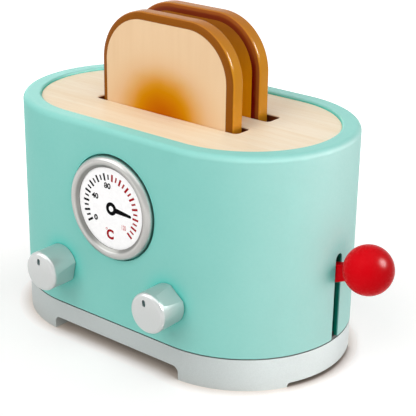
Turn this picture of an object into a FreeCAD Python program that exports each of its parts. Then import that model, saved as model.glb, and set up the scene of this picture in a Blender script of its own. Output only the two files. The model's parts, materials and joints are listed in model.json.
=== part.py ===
import FreeCAD, Part
import math
import os

Vector = FreeCAD.Vector

# Toy pop-up toaster in millimetres. +Z is up, the dial is on the -Y side, the lever on the +X end.
# Everything is drawn about the middle of the body and moved to the frame's origin when it is saved.

# Body
body_length = 200.0
body_width = 119.0
rim_top = 126.5
base_height = 18.5
rim_thickness = 10.0
wall_thickness = 13.0
rim_outer_round = 3.0
rim_inner_round = 1.2
panel_recess = 1.5
panel_thickness = 12.0

# Base
arch_half_length = 45.0
arch_height = 7.5
arch_corner = 3.5
end_arch_half_width = 28.5
end_arch_height = 2.4
end_arch_corner = 1.4
joint_groove_height = 0.7
joint_groove_depth = 1.5

# Toast and its slots
toast_width = 90.0
toast_height = 98.2
toast_thickness = 10.4
toast_shoulder = 29.5
toast_foot_corner = 12.0
toast_edge = 1.2
toast_bottom = 79.15
toast_front_x = 0.4
toast_back_x = -3.3
slot_length = 97.6
slot_width = 11.7
slot_middle = 13.35
slot_corner = 2.5
slot_side_gap = 0.3
rail_room = 11.0

# Dial. The dial and the knobs are set a little off the middle, towards the lever.
front_middle = 0.4
dial_height = 84.55
bezel_radius = 28.0
dial_radius = 22.2
dial_proud = 1.3
bezel_proud = 3.4
bezel_bevel_width = 1.8
bezel_bevel_rise = 1.2
bezel_crest_inset = 0.6
bezel_gap = 0.9
dial_recess_depth = 3.0

# Knobs. Each has two grip flats that slope in towards its back.
knob_spacing = 76.2
knob_height = 42.5
knob_radius = 10.9
knob_length = 17.0
knob_gap = 0.5
knob_flat_front = 10.4
knob_flat_back = 9.6
knob_flats = 2
knob_cap = 3.7
knob_edge_round = 2.0
knob_dome = 0.5
flat_angle_left = 348.0
flat_angle_right = 51.0
axle_radius = 4.0
axle_socket = 9.0
washer_radius = 7.5
washer_gap = 0.7
washer_thickness = 3.0
washer_bevel = 0.6
pointer_angle_left = 95.0
pointer_angle_right = 103.0
pointer_start = 4.0
pointer_end = 7.6
pointer_width = 2.1
pointer_depth = 1.5

# Lever. The wall is pocketed from inside round its slot, down to a thin lip.
lever_middle = 2.7
lever_thickness = 4.7
lever_slot_width = 5.9
lever_slot_top = 67.0
slot_lip = 2.6
slot_pocket_width = 12.0
slot_pocket_top = 70.0
pivot_x = -76.0
pivot_z = 25.7
pin_radius = 3.0
eye_radius = 6.5
arm_height = 11.0
arm_rise_angle = 9.93
arm_edge = 0.7
neck_start = 174.0
neck_tip = 196.0
neck_rise = 4.4
neck_tip_rise = 5.8
neck_tip_drop = 1.0
neck_slopes = (3.0, 9.0)
lever_travel = 8.6
ball_x = 117.7
ball_z = 63.0
ball_radius = 13.15

# Blocks that hold the lever's pin
cheek_thickness = 6.0
cheek_half_width = 8.0

# Tray, guide rods and springs
tray_top = 79.0
tray_deck = 5.0
tray_half_length = 52.0
tray_front = -22.0
tray_back = 21.5
rail_height = 6.0
peg_x = 34.0
peg_radius = 3.0
peg_play = 0.15
web_front = -4.0
web_back = 0.0
web_half_top = 24.0
rod_x = 58.0
rod_y = -6.0
rod_radius = 2.5
rod_bottom = 10.5
rod_top = 119.0
collar_radius = 5.0
collar_height = 4.0
boss_radius = 7.0
boss_bottom = 66.0
boss_top = 83.0
spring_radius = 4.0
spring_wire = 0.5
spring_turns = 7.0
spring_steps = 12
spring_sides = 6

# Screws: radius, head radius, head depth, length
wall_screw = (1.75, 3.6, 2.2, 30.0)
cheek_screw = (1.4, 2.8, 1.7, 26.0)
cheek_screw_offset = 5.4
screw_sink = 1.0

# Fits
running = 0.05
seat = 0.02
free_gap = 0.3

# Worked out from the above
front_face = -body_width / 2.0
end_centre = (body_length - body_width) / 2.0
panel_top = rim_top - panel_recess
panel_bottom = panel_top - panel_thickness
knob_front = front_face - knob_gap - knob_length
knob_back = front_face - knob_gap
peg_reach = (peg_x - pivot_x) / math.cos(math.radians(arm_rise_angle))
peg_z = pivot_z + (peg_x - pivot_x) * math.tan(math.radians(arm_rise_angle))
pressed_angle = math.radians(arm_rise_angle - lever_travel)
peg_pressed_x = pivot_x + peg_reach * math.cos(pressed_angle)
peg_pressed_z = pivot_z + peg_reach * math.sin(pressed_angle)
tray_drop = peg_z - peg_pressed_z
ball_end = ball_x + ball_radius
lever_side = (lever_middle - lever_thickness / 2.0, lever_middle + lever_thickness / 2.0)
inside_wall = front_face + wall_thickness

# The origin is under the middle of the whole toaster, lever ball and knobs included.
to_frame = Vector(-(ball_end - body_length / 2.0) / 2.0, -(knob_front + body_width / 2.0) / 2.0, 0)

along_x = Vector(1, 0, 0)
along_y = Vector(0, 1, 0)
along_z = Vector(0, 0, 1)


def line(start, end):
    return Part.LineSegment(start, end).toShape()


def arc(start, middle, end):
    return Part.Arc(start, middle, end).toShape()


def solid_from(outline, direction):
    return Part.Face(Part.Wire(outline)).extrude(direction)


def polygon_solid(points, direction):
    return Part.Face(Part.makePolygon(points + [points[0]])).extrude(direction)


def round_edges(shape, radius, wanted):
    return shape.makeFillet(radius, [edge for edge in shape.Edges if wanted(edge)])


def runs_along(edge, direction):
    first = edge.Vertexes[0].Point
    last = edge.Vertexes[-1].Point
    return (last - first).cross(direction).Length < 1e-6 and (last - first).Length > 1e-6


def lies_at_height(edge, height):
    box = edge.BoundBox
    return abs(box.ZMin - height) < 1e-4 and abs(box.ZMax - height) < 1e-4


def stadium(inset, bottom, top):
    """A block with straight sides and half-round ends, inset from the body's outline."""
    radius = body_width / 2.0 - inset
    outline = [
        line(Vector(-end_centre, -radius, bottom), Vector(end_centre, -radius, bottom)),
        arc(
            Vector(end_centre, -radius, bottom),
            Vector(end_centre + radius, 0, bottom),
            Vector(end_centre, radius, bottom),
        ),
        line(Vector(end_centre, radius, bottom), Vector(-end_centre, radius, bottom)),
        arc(
            Vector(-end_centre, radius, bottom),
            Vector(-end_centre - radius, 0, bottom),
            Vector(-end_centre, -radius, bottom),
        ),
    ]
    return solid_from(outline, Vector(0, 0, top - bottom))


def block(x_span, y_span, z_span):
    size = [high - low for low, high in (x_span, y_span, z_span)]
    return Part.makeBox(*size, Vector(x_span[0], y_span[0], z_span[0]))


def cylinder_y(radius, x, z, y_span):
    return Part.makeCylinder(radius, y_span[1] - y_span[0], Vector(x, y_span[0], z), along_y)


def cylinder_z(radius, x, y, z_span):
    return Part.makeCylinder(radius, z_span[1] - z_span[0], Vector(x, y, z_span[0]), along_z)


def turned_y(profile, x, z):
    """A turned piece on an axis along Y. Each profile point is a radius and a place along Y."""
    points = [Vector(radius, y, 0) for radius, y in profile]
    face = Part.Face(Part.makePolygon(points + [points[0]]))
    piece = face.revolve(Vector(0, 0, 0), along_y, 360)
    piece.translate(Vector(x, 0, z))
    return piece


def wall_screw_places():
    """Six screws go up through the base into the middle of the body's wall."""
    ring = body_width / 2.0 - wall_thickness / 2.0
    places = [(0, -ring), (0, ring)]
    for side in (-1, 1):
        for turn in (-40, 40):
            angle = math.radians(turn)
            places.append((side * (end_centre + ring * math.cos(angle)), ring * math.sin(angle)))
    return places


def cheek_spans():
    """The two blocks that hold the lever's pin, one on each side of the lever."""
    front = lever_side[0] - free_gap
    back = lever_side[1] + free_gap
    return [(front - cheek_thickness, front), (back, back + cheek_thickness)]


def cheek_screw_places():
    places = []
    for low, high in cheek_spans():
        for side in (-1, 1):
            places.append((pivot_x + side * cheek_screw_offset, (low + high) / 2.0))
    return places


def screw_start(x, y):
    """The height of a screw's head, sunk a little into the underside of the base."""
    if abs(x) < arch_half_length:
        return arch_height + screw_sink
    if abs(y) < end_arch_half_width:
        return end_arch_height + screw_sink
    return screw_sink


def countersunk(sizes, x, y, play):
    """A countersunk screw standing on its head, or the hole for one when play is added."""
    radius, head_radius, head_depth, length = sizes
    profile = [
        Vector(0, 0, 0),
        Vector(head_radius + play, 0, 0),
        Vector(radius + play, 0, head_depth),
        Vector(radius + play, 0, length),
        Vector(0, 0, length + radius),
    ]
    face = Part.Face(Part.makePolygon(profile + [profile[0]]))
    piece = face.revolve(Vector(0, 0, 0), along_z, 360)
    piece.translate(Vector(x, y, screw_start(x, y)))
    return piece


def screw_hole(sizes, x, y):
    """The hole for a screw: its shank, its head and the bore its head went in by."""
    bore = cylinder_z(sizes[1] + running, x, y, (-1, screw_start(x, y)))
    return countersunk(sizes, x, y, running).fuse(bore)


def screw_with_cross(sizes, x, y):
    """A countersunk screw with a cross recess in its head."""
    reach = 0.55 * sizes[1]
    half = 0.13 * sizes[1]
    start = screw_start(x, y)
    deep = (start - 1, start + 0.5 * sizes[2])
    cross = block((x - reach, x + reach), (y - half, y + half), deep)
    cross = cross.fuse(block((x - half, x + half), (y - reach, y + reach), deep))
    return countersunk(sizes, x, y, 0).cut(cross)


def make_base():
    slab = stadium(0, 0, base_height - joint_groove_height)
    slab = slab.fuse(stadium(joint_groove_depth, 1, base_height)).removeSplitter()
    reach = body_length
    arch = block((-arch_half_length, arch_half_length), (-reach, reach), (-reach, arch_height))
    arch = round_edges(
        arch, arch_corner, lambda edge: runs_along(edge, along_y) and edge.BoundBox.ZMax > 0
    )
    end_arch = block(
        (-reach, reach), (-end_arch_half_width, end_arch_half_width), (-reach, end_arch_height)
    )
    end_arch = round_edges(
        end_arch, end_arch_corner, lambda edge: runs_along(edge, along_x) and edge.BoundBox.ZMax > 0
    )
    slab = slab.cut(arch.fuse(end_arch))
    for x, y in wall_screw_places():
        slab = slab.cut(screw_hole(wall_screw, x, y))
    for x, y in cheek_screw_places():
        slab = slab.cut(screw_hole(cheek_screw, x, y))
    for side in (-1, 1):
        socket = (rod_bottom, base_height + 1)
        slab = slab.cut(cylinder_z(rod_radius + seat, side * rod_x, rod_y, socket))
    return slab


def lever_slot():
    """The slot in the end wall that the lever travels in, open at the bottom, round at the top."""
    half = lever_slot_width / 2.0
    crown = lever_slot_top - half
    x = body_length / 2.0 - wall_thickness - 5
    outline = [
        line(Vector(x, lever_middle - half, 0), Vector(x, lever_middle + half, 0)),
        line(Vector(x, lever_middle + half, 0), Vector(x, lever_middle + half, crown)),
        arc(
            Vector(x, lever_middle + half, crown),
            Vector(x, lever_middle, lever_slot_top),
            Vector(x, lever_middle - half, crown),
        ),
        line(Vector(x, lever_middle - half, crown), Vector(x, lever_middle - half, 0)),
    ]
    return solid_from(outline, Vector(wall_thickness + 10, 0, 0))


def lever_pocket():
    """The room cut into the inside of the end wall round the lever's slot."""
    inner = body_length / 2.0 - wall_thickness - 1
    return block(
        (inner, body_length / 2.0 - slot_lip),
        (lever_middle - slot_pocket_width / 2.0, lever_middle + slot_pocket_width / 2.0),
        (base_height - 1, slot_pocket_top),
    )


def knob_middle(side):
    return front_middle + side * knob_spacing / 2.0


def make_body_shell():
    """The wall of the body: a mouth with a ledge for the top panel over a wider-walled cavity."""
    outer = stadium(0, base_height, rim_top)
    outer = round_edges(outer, rim_outer_round, lambda edge: lies_at_height(edge, rim_top))
    mouth = stadium(rim_thickness, panel_bottom, rim_top + 1)
    cavity = stadium(wall_thickness, base_height - 1, panel_bottom + 1)
    shell = outer.cut(mouth).cut(cavity)
    shell = round_edges(
        shell,
        rim_inner_round,
        lambda edge: lies_at_height(edge, rim_top) and edge.distToShape(mouth)[0] < 0.01,
    )
    shell = shell.cut(lever_slot()).cut(lever_pocket())
    recess = (front_face - 1, front_face + dial_recess_depth)
    shell = shell.cut(cylinder_y(bezel_radius + bezel_gap, front_middle, dial_height, recess))
    for side in (-1, 1):
        hole = (axle_radius + 2 * running, knob_middle(side), knob_height)
        shell = shell.cut(cylinder_y(*hole, (front_face - 1, inside_wall + 1)))
    for x, y in wall_screw_places():
        shell = shell.cut(countersunk(wall_screw, x, y, running))
    return shell


def rounded_slot(y, bottom, top):
    half_x = slot_length / 2.0
    half_y = slot_width / 2.0
    slot = block((-half_x, half_x), (y - half_y, y + half_y), (bottom, top))
    return round_edges(slot, slot_corner, lambda edge: runs_along(edge, along_z))


def make_top_panel():
    panel = stadium(rim_thickness + seat, panel_bottom, panel_top)
    for y in (-slot_middle, slot_middle):
        panel = panel.cut(rounded_slot(y, panel_bottom - 1, panel_top + 1))
    top_edges = [edge for edge in panel.Edges if lies_at_height(edge, panel_top)]
    panel = panel.makeChamfer(0.4, top_edges)
    for side in (-1, 1):
        socket = (panel_bottom - 1, rod_top)
        panel = panel.cut(cylinder_z(rod_radius + seat, side * rod_x, rod_y, socket))
    return panel


def make_dial_bezel():
    """A ring with a round crest and a bevelled lip that holds the dial face in its recess."""
    floor = Vector(bezel_radius, front_face + dial_recess_depth, 0)
    seat_top = front_face - dial_proud - running
    rebate = dial_radius + 1.6
    lip = Vector(dial_radius, seat_top - 0.5, 0)
    shoulder = lip + Vector(bezel_bevel_width, -bezel_bevel_rise, 0)
    crest_radius = (shoulder.x + bezel_radius) / 2.0 - bezel_crest_inset
    crest = Vector(crest_radius, front_face - bezel_proud, 0)
    flank = Vector(bezel_radius, front_face - bezel_crest_inset, 0)
    outline = [
        line(Vector(rebate, floor.y, 0), Vector(rebate, seat_top, 0)),
        line(Vector(rebate, seat_top, 0), Vector(dial_radius, seat_top, 0)),
        line(Vector(dial_radius, seat_top, 0), lip),
        line(lip, shoulder),
        arc(shoulder, crest, flank),
        line(flank, floor),
        line(floor, Vector(rebate, floor.y, 0)),
    ]
    ring = Part.Face(Part.Wire(outline)).revolve(Vector(0, 0, 0), along_y, 360)
    ring.translate(Vector(front_middle, 0, dial_height))
    return ring


def make_dial_face():
    floor = front_face + dial_recess_depth
    span = (front_face - dial_proud, floor)
    return cylinder_y(dial_radius + 1.5, front_middle, dial_height, span)


def make_knob(side, flat_angle, pointer_angle):
    """A round-fronted knob with grip flats behind its cap and a short pointer notch in its face."""
    face_radius = knob_radius - knob_edge_round
    face = knob_front + knob_dome
    corner = math.sqrt(0.5) * knob_edge_round
    outline = [
        line(Vector(0, knob_back, 0), Vector(0, knob_front, 0)),
        arc(
            Vector(0, knob_front, 0),
            Vector(face_radius / 2.0, knob_front + knob_dome / 4.0, 0),
            Vector(face_radius, face, 0),
        ),
        arc(
            Vector(face_radius, face, 0),
            Vector(face_radius + corner, face + knob_edge_round - corner, 0),
            Vector(knob_radius, face + knob_edge_round, 0),
        ),
        line(Vector(knob_radius, face + knob_edge_round, 0), Vector(knob_radius, knob_back, 0)),
        line(Vector(knob_radius, knob_back, 0), Vector(0, knob_back, 0)),
    ]
    knob = Part.Face(Part.Wire(outline)).revolve(Vector(0, 0, 0), along_y, 360)
    for index in range(knob_flats):
        flat = polygon_solid(
            [
                Vector(knob_flat_front, knob_front + knob_cap, -knob_radius),
                Vector(2 * knob_radius, knob_front + knob_cap, -knob_radius),
                Vector(2 * knob_radius, knob_back, -knob_radius),
                Vector(knob_flat_back, knob_back, -knob_radius),
            ],
            Vector(0, 0, 2 * knob_radius),
        )
        flat.rotate(Vector(0, 0, 0), along_y, -flat_angle - 360.0 * index / knob_flats)
        knob = knob.cut(flat)
    half = pointer_width / 2.0
    depth = (knob_front - 1, knob_front + pointer_depth)
    notch = block((pointer_start, pointer_end), depth, (-half, half))
    notch = round_edges(notch, half - 0.05, lambda edge: runs_along(edge, along_y))
    notch.rotate(Vector(0, 0, 0), along_y, -pointer_angle)
    socket = cylinder_y(axle_radius + seat, 0, 0, (knob_back - axle_socket, knob_back + 1))
    knob = knob.cut(notch).cut(socket)
    knob.translate(Vector(knob_middle(side), 0, knob_height))
    return knob


def make_knob_axle(side):
    """The dowel fixed in a knob and in the washer that holds it behind the wall."""
    span = (knob_back - axle_socket + 0.2, inside_wall + washer_gap + washer_thickness)
    return cylinder_y(axle_radius, knob_middle(side), knob_height, span)


def make_knob_washer(side):
    near = inside_wall + washer_gap
    far = near + washer_thickness
    profile = [
        (axle_radius + seat, near),
        (washer_radius - washer_bevel, near),
        (washer_radius, near + washer_bevel),
        (washer_radius, far - washer_bevel),
        (washer_radius - washer_bevel, far),
        (axle_radius + seat, far),
    ]
    return turned_y(profile, knob_middle(side), knob_height)


def along_arm(distance, rise):
    """A point in the lever's plane: a distance from the pivot along the arm and a rise off it."""
    angle = math.radians(arm_rise_angle)
    x = pivot_x + distance * math.cos(angle) - rise * math.sin(angle)
    z = pivot_z + distance * math.sin(angle) + rise * math.cos(angle)
    return Vector(x, lever_side[0], z)


def arm_blank():
    """The lever before drilling: an eye at the pivot, a straight bar and a raised neck."""
    half = arm_height / 2.0
    taper_end = 30.0
    bar = polygon_solid(
        [
            along_arm(0, -eye_radius),
            along_arm(taper_end, -half),
            along_arm(neck_start, -half),
            along_arm(neck_tip, -neck_tip_drop),
            along_arm(neck_tip, neck_tip_rise),
            along_arm(neck_start - neck_slopes[0], neck_rise),
            along_arm(neck_start - neck_slopes[1], half),
            along_arm(taper_end, half),
            along_arm(0, eye_radius),
        ],
        Vector(0, lever_thickness, 0),
    )
    blank = bar.fuse(cylinder_y(eye_radius, pivot_x, pivot_z, lever_side)).removeSplitter()
    return round_edges(
        blank, arm_edge, lambda edge: edge.BoundBox.YLength < 1e-6 and edge.BoundBox.XMax < ball_x - 5
    )


def make_lever_arm():
    through = (lever_side[0] - 1, lever_side[1] + 1)
    arm = arm_blank().cut(cylinder_y(pin_radius + running, pivot_x, pivot_z, through))
    return arm.cut(cylinder_y(peg_radius + seat, peg_x, peg_z, through))


def make_lever_ball():
    ball = Part.makeSphere(ball_radius, Vector(ball_x, lever_middle, ball_z))
    return ball.cut(arm_blank())


def make_drive_peg():
    peg = cylinder_y(peg_radius, peg_x, peg_z, (web_front - 0.6, lever_side[1]))
    return peg.makeChamfer(0.4, [edge for edge in peg.Edges if edge.BoundBox.YMax < web_front])


def make_pivot_pin():
    front, back = cheek_spans()
    return cylinder_y(pin_radius, pivot_x, pivot_z, (front[0], back[1]))


def make_pivot_cheek(span):
    """A block with a round top that stands on the base and holds one end of the lever's pin."""
    left = pivot_x - cheek_half_width
    right = pivot_x + cheek_half_width
    low, high = span
    outline = [
        line(Vector(left, low, base_height), Vector(right, low, base_height)),
        line(Vector(right, low, base_height), Vector(right, low, pivot_z)),
        arc(
            Vector(right, low, pivot_z),
            Vector(pivot_x, low, pivot_z + cheek_half_width),
            Vector(left, low, pivot_z),
        ),
        line(Vector(left, low, pivot_z), Vector(left, low, base_height)),
    ]
    cheek = solid_from(outline, Vector(0, high - low, 0))
    cheek = cheek.cut(cylinder_y(pin_radius + seat, pivot_x, pivot_z, (low - 1, high + 1)))
    for x, y in cheek_screw_places():
        if low < y < high:
            cheek = cheek.cut(countersunk(cheek_screw, x, y, running))
    return cheek


def toast_outline(x, y):
    """A slice of bread seen from the front: wide round shoulders and small lower corners."""
    left = x - toast_width / 2.0
    right = x + toast_width / 2.0
    top = toast_bottom + toast_height
    shoulder = toast_shoulder
    corner = toast_foot_corner
    nook = 1 - math.sqrt(0.5)

    def at(px, pz):
        return Vector(px, y, pz)

    return [
        line(at(left + corner, toast_bottom), at(right - corner, toast_bottom)),
        arc(
            at(right - corner, toast_bottom),
            at(right - corner * nook, toast_bottom + corner * nook),
            at(right, toast_bottom + corner),
        ),
        line(at(right, toast_bottom + corner), at(right, top - shoulder)),
        arc(
            at(right, top - shoulder),
            at(right - shoulder * nook, top - shoulder * nook),
            at(right - shoulder, top),
        ),
        line(at(right - shoulder, top), at(left + shoulder, top)),
        arc(
            at(left + shoulder, top),
            at(left + shoulder * nook, top - shoulder * nook),
            at(left, top - shoulder),
        ),
        line(at(left, top - shoulder), at(left, toast_bottom + corner)),
        arc(
            at(left, toast_bottom + corner),
            at(left + corner * nook, toast_bottom + corner * nook),
            at(left + corner, toast_bottom),
        ),
    ]


def make_toast(x, slot_y):
    low = slot_y - slot_width / 2.0 + slot_side_gap
    slice_ = solid_from(toast_outline(x, low), Vector(0, toast_thickness, 0))
    rim = [edge for edge in slice_.Edges if not runs_along(edge, along_y)]
    return slice_.makeFillet(toast_edge, rim)


def make_toast_tray():
    """The tray: a deck with rails that hold the feet of the slices, bosses and a slotted web."""
    deck_low = tray_top - tray_deck
    rail_top = tray_top + rail_height
    front_slot_start = -slot_middle - slot_width / 2.0
    back_slot_start = slot_middle - slot_width / 2.0
    rails = [
        (tray_front, front_slot_start - 0.1),
        (front_slot_start + rail_room, back_slot_start),
        (back_slot_start + rail_room, tray_back),
    ]
    start = -tray_half_length
    profile = [Vector(start, tray_front, deck_low)]
    for index, (low, high) in enumerate(rails):
        profile.append(Vector(start, low, rail_top))
        profile.append(Vector(start, high, rail_top))
        if index + 1 < len(rails):
            profile.append(Vector(start, high, tray_top))
            profile.append(Vector(start, rails[index + 1][0], tray_top))
    profile.append(Vector(start, tray_back, deck_low))
    tray = polygon_solid(profile, Vector(2 * tray_half_length, 0, 0))
    for side in (-1, 1):
        stop_x = sorted((side * (slot_length / 2.0 + 0.2), side * tray_half_length))
        tray = tray.fuse(block(stop_x, (tray_front, tray_back), (tray_top - 1, rail_top)))
        tray = tray.fuse(cylinder_z(boss_radius, side * rod_x, rod_y, (boss_bottom, boss_top)))
        ear_x = sorted((side * (tray_half_length - 2), side * rod_x))
        ear_y = (rod_y - boss_radius, rod_y + boss_radius)
        tray = tray.fuse(block(ear_x, ear_y, (deck_low, tray_top)))
    tray = tray.fuse(make_web()).removeSplitter()
    for side in (-1, 1):
        bore = (boss_bottom - 1, boss_top + 1)
        tray = tray.cut(cylinder_z(rod_radius + running, side * rod_x, rod_y, bore))
    return tray


def make_web():
    """The tapered web under the deck, with the level slot that the lever's peg slides in."""
    low = peg_z - 7.0
    web = polygon_solid(
        [
            Vector(peg_x - web_half_top, web_front, tray_top - tray_deck),
            Vector(peg_x - 8, web_front, low),
            Vector(peg_x + 10, web_front, low),
            Vector(peg_x + web_half_top, web_front, tray_top - tray_deck),
        ],
        Vector(0, web_back - web_front, 0),
    )
    web = round_edges(
        web, 3.0, lambda edge: runs_along(edge, along_y) and edge.BoundBox.ZMax < peg_z
    )
    radius = peg_radius + peg_play
    first = peg_x - peg_play
    last = peg_pressed_x + peg_play
    through = (web_front - 1, web_back + 1)
    slot = block((first, last), through, (peg_z - radius, peg_z + radius))
    for x in (first, last):
        slot = slot.fuse(cylinder_y(radius, x, peg_z, through))
    return web.cut(slot.removeSplitter())


def make_guide_rod(side):
    rod = cylinder_z(rod_radius, side * rod_x, rod_y, (rod_bottom, rod_top))
    ends = [edge for edge in rod.Edges if edge.BoundBox.ZLength < 1e-6]
    return rod.makeChamfer(0.4, ends)


def wire_section(turn, height):
    """The corners of the spring's wire where it has made this turn and reached this height."""
    outward = Vector(math.cos(turn), math.sin(turn), 0)
    middle = outward * spring_radius + Vector(0, 0, height)
    corners = []
    for index in range(spring_sides):
        angle = 2 * math.pi * index / spring_sides
        corners.append(middle + (outward * math.cos(angle) + along_z * math.sin(angle)) * spring_wire)
    return corners


def triangle(first, second, third):
    return Part.Face(Part.makePolygon([first, second, third, first]))


def make_spring(side):
    """A wire coil round a guide rod, between the base and the boss of the tray."""
    low = base_height + 2 * spring_wire
    rise = boss_bottom - spring_wire - 0.1 - low
    steps = int(spring_turns * spring_steps)
    sections = []
    for step in range(steps + 1):
        turn = 2 * math.pi * step / spring_steps
        sections.append(wire_section(turn, rise * step / steps))
    faces = []
    for near, far in zip(sections, sections[1:]):
        for index in range(spring_sides):
            other = (index + 1) % spring_sides
            faces.append(triangle(near[index], near[other], far[other]))
            faces.append(triangle(near[index], far[other], far[index]))
    for end in (sections[0], sections[-1]):
        faces.append(Part.Face(Part.makePolygon(end + [end[0]])))
    coil = Part.makeSolid(Part.makeShell(faces))
    coil.translate(Vector(side * rod_x, rod_y, low))
    return coil


def make_stop_collar(side):
    """A collar fixed on a guide rod that the tray's boss comes up against."""
    low = boss_top + free_gap
    ring = cylinder_z(collar_radius, side * rod_x, rod_y, (low, low + collar_height))
    bore = cylinder_z(rod_radius + seat, side * rod_x, rod_y, (low - 1, low + collar_height + 1))
    return ring.cut(bore)


def make_screws(sizes, places):
    return Part.makeCompound([screw_with_cross(sizes, x, y) for x, y in places])


def save(name, shape):
    moved = shape.copy()
    moved.translate(to_frame)
    solids = moved.Solids
    print(name, len(solids), "solid", round(sum(solid.Volume for solid in solids), 1), moved.isValid())
    moved.exportStep("parts/" + name + ".step")


os.makedirs("parts", exist_ok=True)
save("base", make_base())
save("body_shell", make_body_shell())
save("top_panel", make_top_panel())
save("dial_bezel", make_dial_bezel())
save("dial_face", make_dial_face())
knob_turns = {
    "left": (flat_angle_left, pointer_angle_left),
    "right": (flat_angle_right, pointer_angle_right),
}
for side, word in ((-1, "left"), (1, "right")):
    save("knob_" + word, make_knob(side, *knob_turns[word]))
    save("knob_axle_" + word, make_knob_axle(side))
    save("knob_washer_" + word, make_knob_washer(side))
    save("guide_rod_" + word, make_guide_rod(side))
    save("return_spring_" + word, make_spring(side))
    save("stop_collar_" + word, make_stop_collar(side))
save("lever_arm", make_lever_arm())
save("lever_ball", make_lever_ball())
save("drive_peg", make_drive_peg())
save("pivot_pin", make_pivot_pin())
for word, span in zip(("front", "back"), cheek_spans()):
    save("pivot_cheek_" + word, make_pivot_cheek(span))
save("toast_tray", make_toast_tray())
save("toast_front", make_toast(toast_front_x, -slot_middle))
save("toast_back", make_toast(toast_back_x, slot_middle))
save("base_screws", make_screws(wall_screw, wall_screw_places()))
save("cheek_screws", make_screws(cheek_screw, cheek_screw_places()))
print("tray drop", round(tray_drop, 3), "frame shift", to_frame)
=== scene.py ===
import bpy
import bmesh
import json
import math
from mathutils import Matrix, Vector

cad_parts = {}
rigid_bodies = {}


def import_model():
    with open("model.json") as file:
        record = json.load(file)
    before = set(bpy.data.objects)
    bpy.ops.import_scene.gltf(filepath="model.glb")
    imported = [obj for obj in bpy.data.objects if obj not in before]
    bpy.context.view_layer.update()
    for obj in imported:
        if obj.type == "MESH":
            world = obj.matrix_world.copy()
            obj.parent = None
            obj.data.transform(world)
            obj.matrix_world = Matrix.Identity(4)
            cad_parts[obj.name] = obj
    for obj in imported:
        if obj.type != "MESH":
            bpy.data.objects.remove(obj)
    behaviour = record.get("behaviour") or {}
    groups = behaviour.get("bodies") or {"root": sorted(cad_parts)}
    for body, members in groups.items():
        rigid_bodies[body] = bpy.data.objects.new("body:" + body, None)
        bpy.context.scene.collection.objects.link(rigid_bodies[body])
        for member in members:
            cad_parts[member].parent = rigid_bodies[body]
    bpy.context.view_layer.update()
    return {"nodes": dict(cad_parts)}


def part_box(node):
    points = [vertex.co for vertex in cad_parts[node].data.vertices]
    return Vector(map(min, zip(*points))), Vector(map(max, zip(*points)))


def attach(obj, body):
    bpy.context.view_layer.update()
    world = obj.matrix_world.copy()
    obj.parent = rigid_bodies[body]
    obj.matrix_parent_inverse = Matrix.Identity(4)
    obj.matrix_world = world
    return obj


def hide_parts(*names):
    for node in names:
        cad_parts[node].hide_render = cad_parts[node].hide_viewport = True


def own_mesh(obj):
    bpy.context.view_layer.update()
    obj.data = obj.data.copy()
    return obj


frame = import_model()
nodes = frame["nodes"]
print("Toaster frame loaded,", len(nodes), "nodes")

mm = 0.001


# Shared helpers

def swatch(red, green, blue):
    # A colour from 0 to 255 as the eye sees it, made linear for the shaders
    values = []
    for part in (red, green, blue):
        share = part / 255
        values.append(share / 12.92 if share <= 0.04045 else ((share + 0.055) / 1.055) ** 2.4)
    return (values[0], values[1], values[2], 1.0)


def middleOf(nodeName):
    low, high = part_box(nodeName)
    return (low + high) / 2


def plug(tree, node, inputs):
    # Links a socket, or sets a plain value, on each input that is named
    for socket, value in inputs.items():
        if isinstance(value, bpy.types.NodeSocket):
            tree.links.new(value, node.inputs[socket])
        else:
            node.inputs[socket].default_value = value


def addNode(tree, kind, inputs=None, **settings):
    made = tree.nodes.new(kind)
    for setting, value in settings.items():
        setattr(made, setting, value)
    plug(tree, made, inputs or {})
    return made


def newFinish(name):
    # A material with one Principled shader, and the piece's own coordinates in metres
    material = bpy.data.materials.new(name)
    material.use_nodes = True
    tree = material.node_tree
    tree.nodes.clear()
    output = tree.nodes.new("ShaderNodeOutputMaterial")
    shader = tree.nodes.new("ShaderNodeBsdfPrincipled")
    tree.links.new(shader.outputs["BSDF"], output.inputs["Surface"])
    coords = tree.nodes.new("ShaderNodeTexCoord").outputs["Object"]
    return material, tree, shader, coords


def placed(tree, coords, centre=(0, 0, 0), stretch=(1, 1, 1)):
    # Centres a pattern on a piece, then stretches it
    moved = addNode(tree, "ShaderNodeMapping", {"Vector": coords, "Location": tuple(-c for c in centre)})
    scaled = addNode(tree, "ShaderNodeMapping", {"Vector": moved.outputs["Vector"], "Scale": stretch})
    return scaled.outputs["Vector"]


def distanceFrom(tree, coords, centre, stretch=(1, 1, 1)):
    # How far a point is from the centre, along the axes that stretch keeps
    spot = placed(tree, coords, centre, stretch)
    return addNode(tree, "ShaderNodeVectorMath", {0: spot}, operation="LENGTH").outputs["Value"]


def axisOf(tree, coords, axis):
    return addNode(tree, "ShaderNodeSeparateXYZ", {0: coords}).outputs[axis]


def noise(tree, coords, scale=1.0, detail=2.0, roughness=0.5, twist=0.0):
    made = addNode(
        tree,
        "ShaderNodeTexNoise",
        {"Vector": coords, "Scale": scale, "Detail": detail, "Roughness": roughness, "Distortion": twist},
    )
    return made.outputs["Fac"]


def spread(tree, value, low, high, newLow=0.0, newHigh=1.0):
    made = addNode(
        tree,
        "ShaderNodeMapRange",
        {"Value": value, "From Min": low, "From Max": high, "To Min": newLow, "To Max": newHigh},
    )
    return made.outputs["Result"]


def vary(tree, pattern, low=0.0, high=1.0):
    # The middle of a noise, carried over to the range from low to high
    return spread(tree, pattern, 0.3, 0.7, low, high)


def combine(tree, kind, first, second=None):
    inputs = {0: first} if second is None else {0: first, 1: second}
    return addNode(tree, "ShaderNodeMath", inputs, operation=kind).outputs["Value"]


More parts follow.
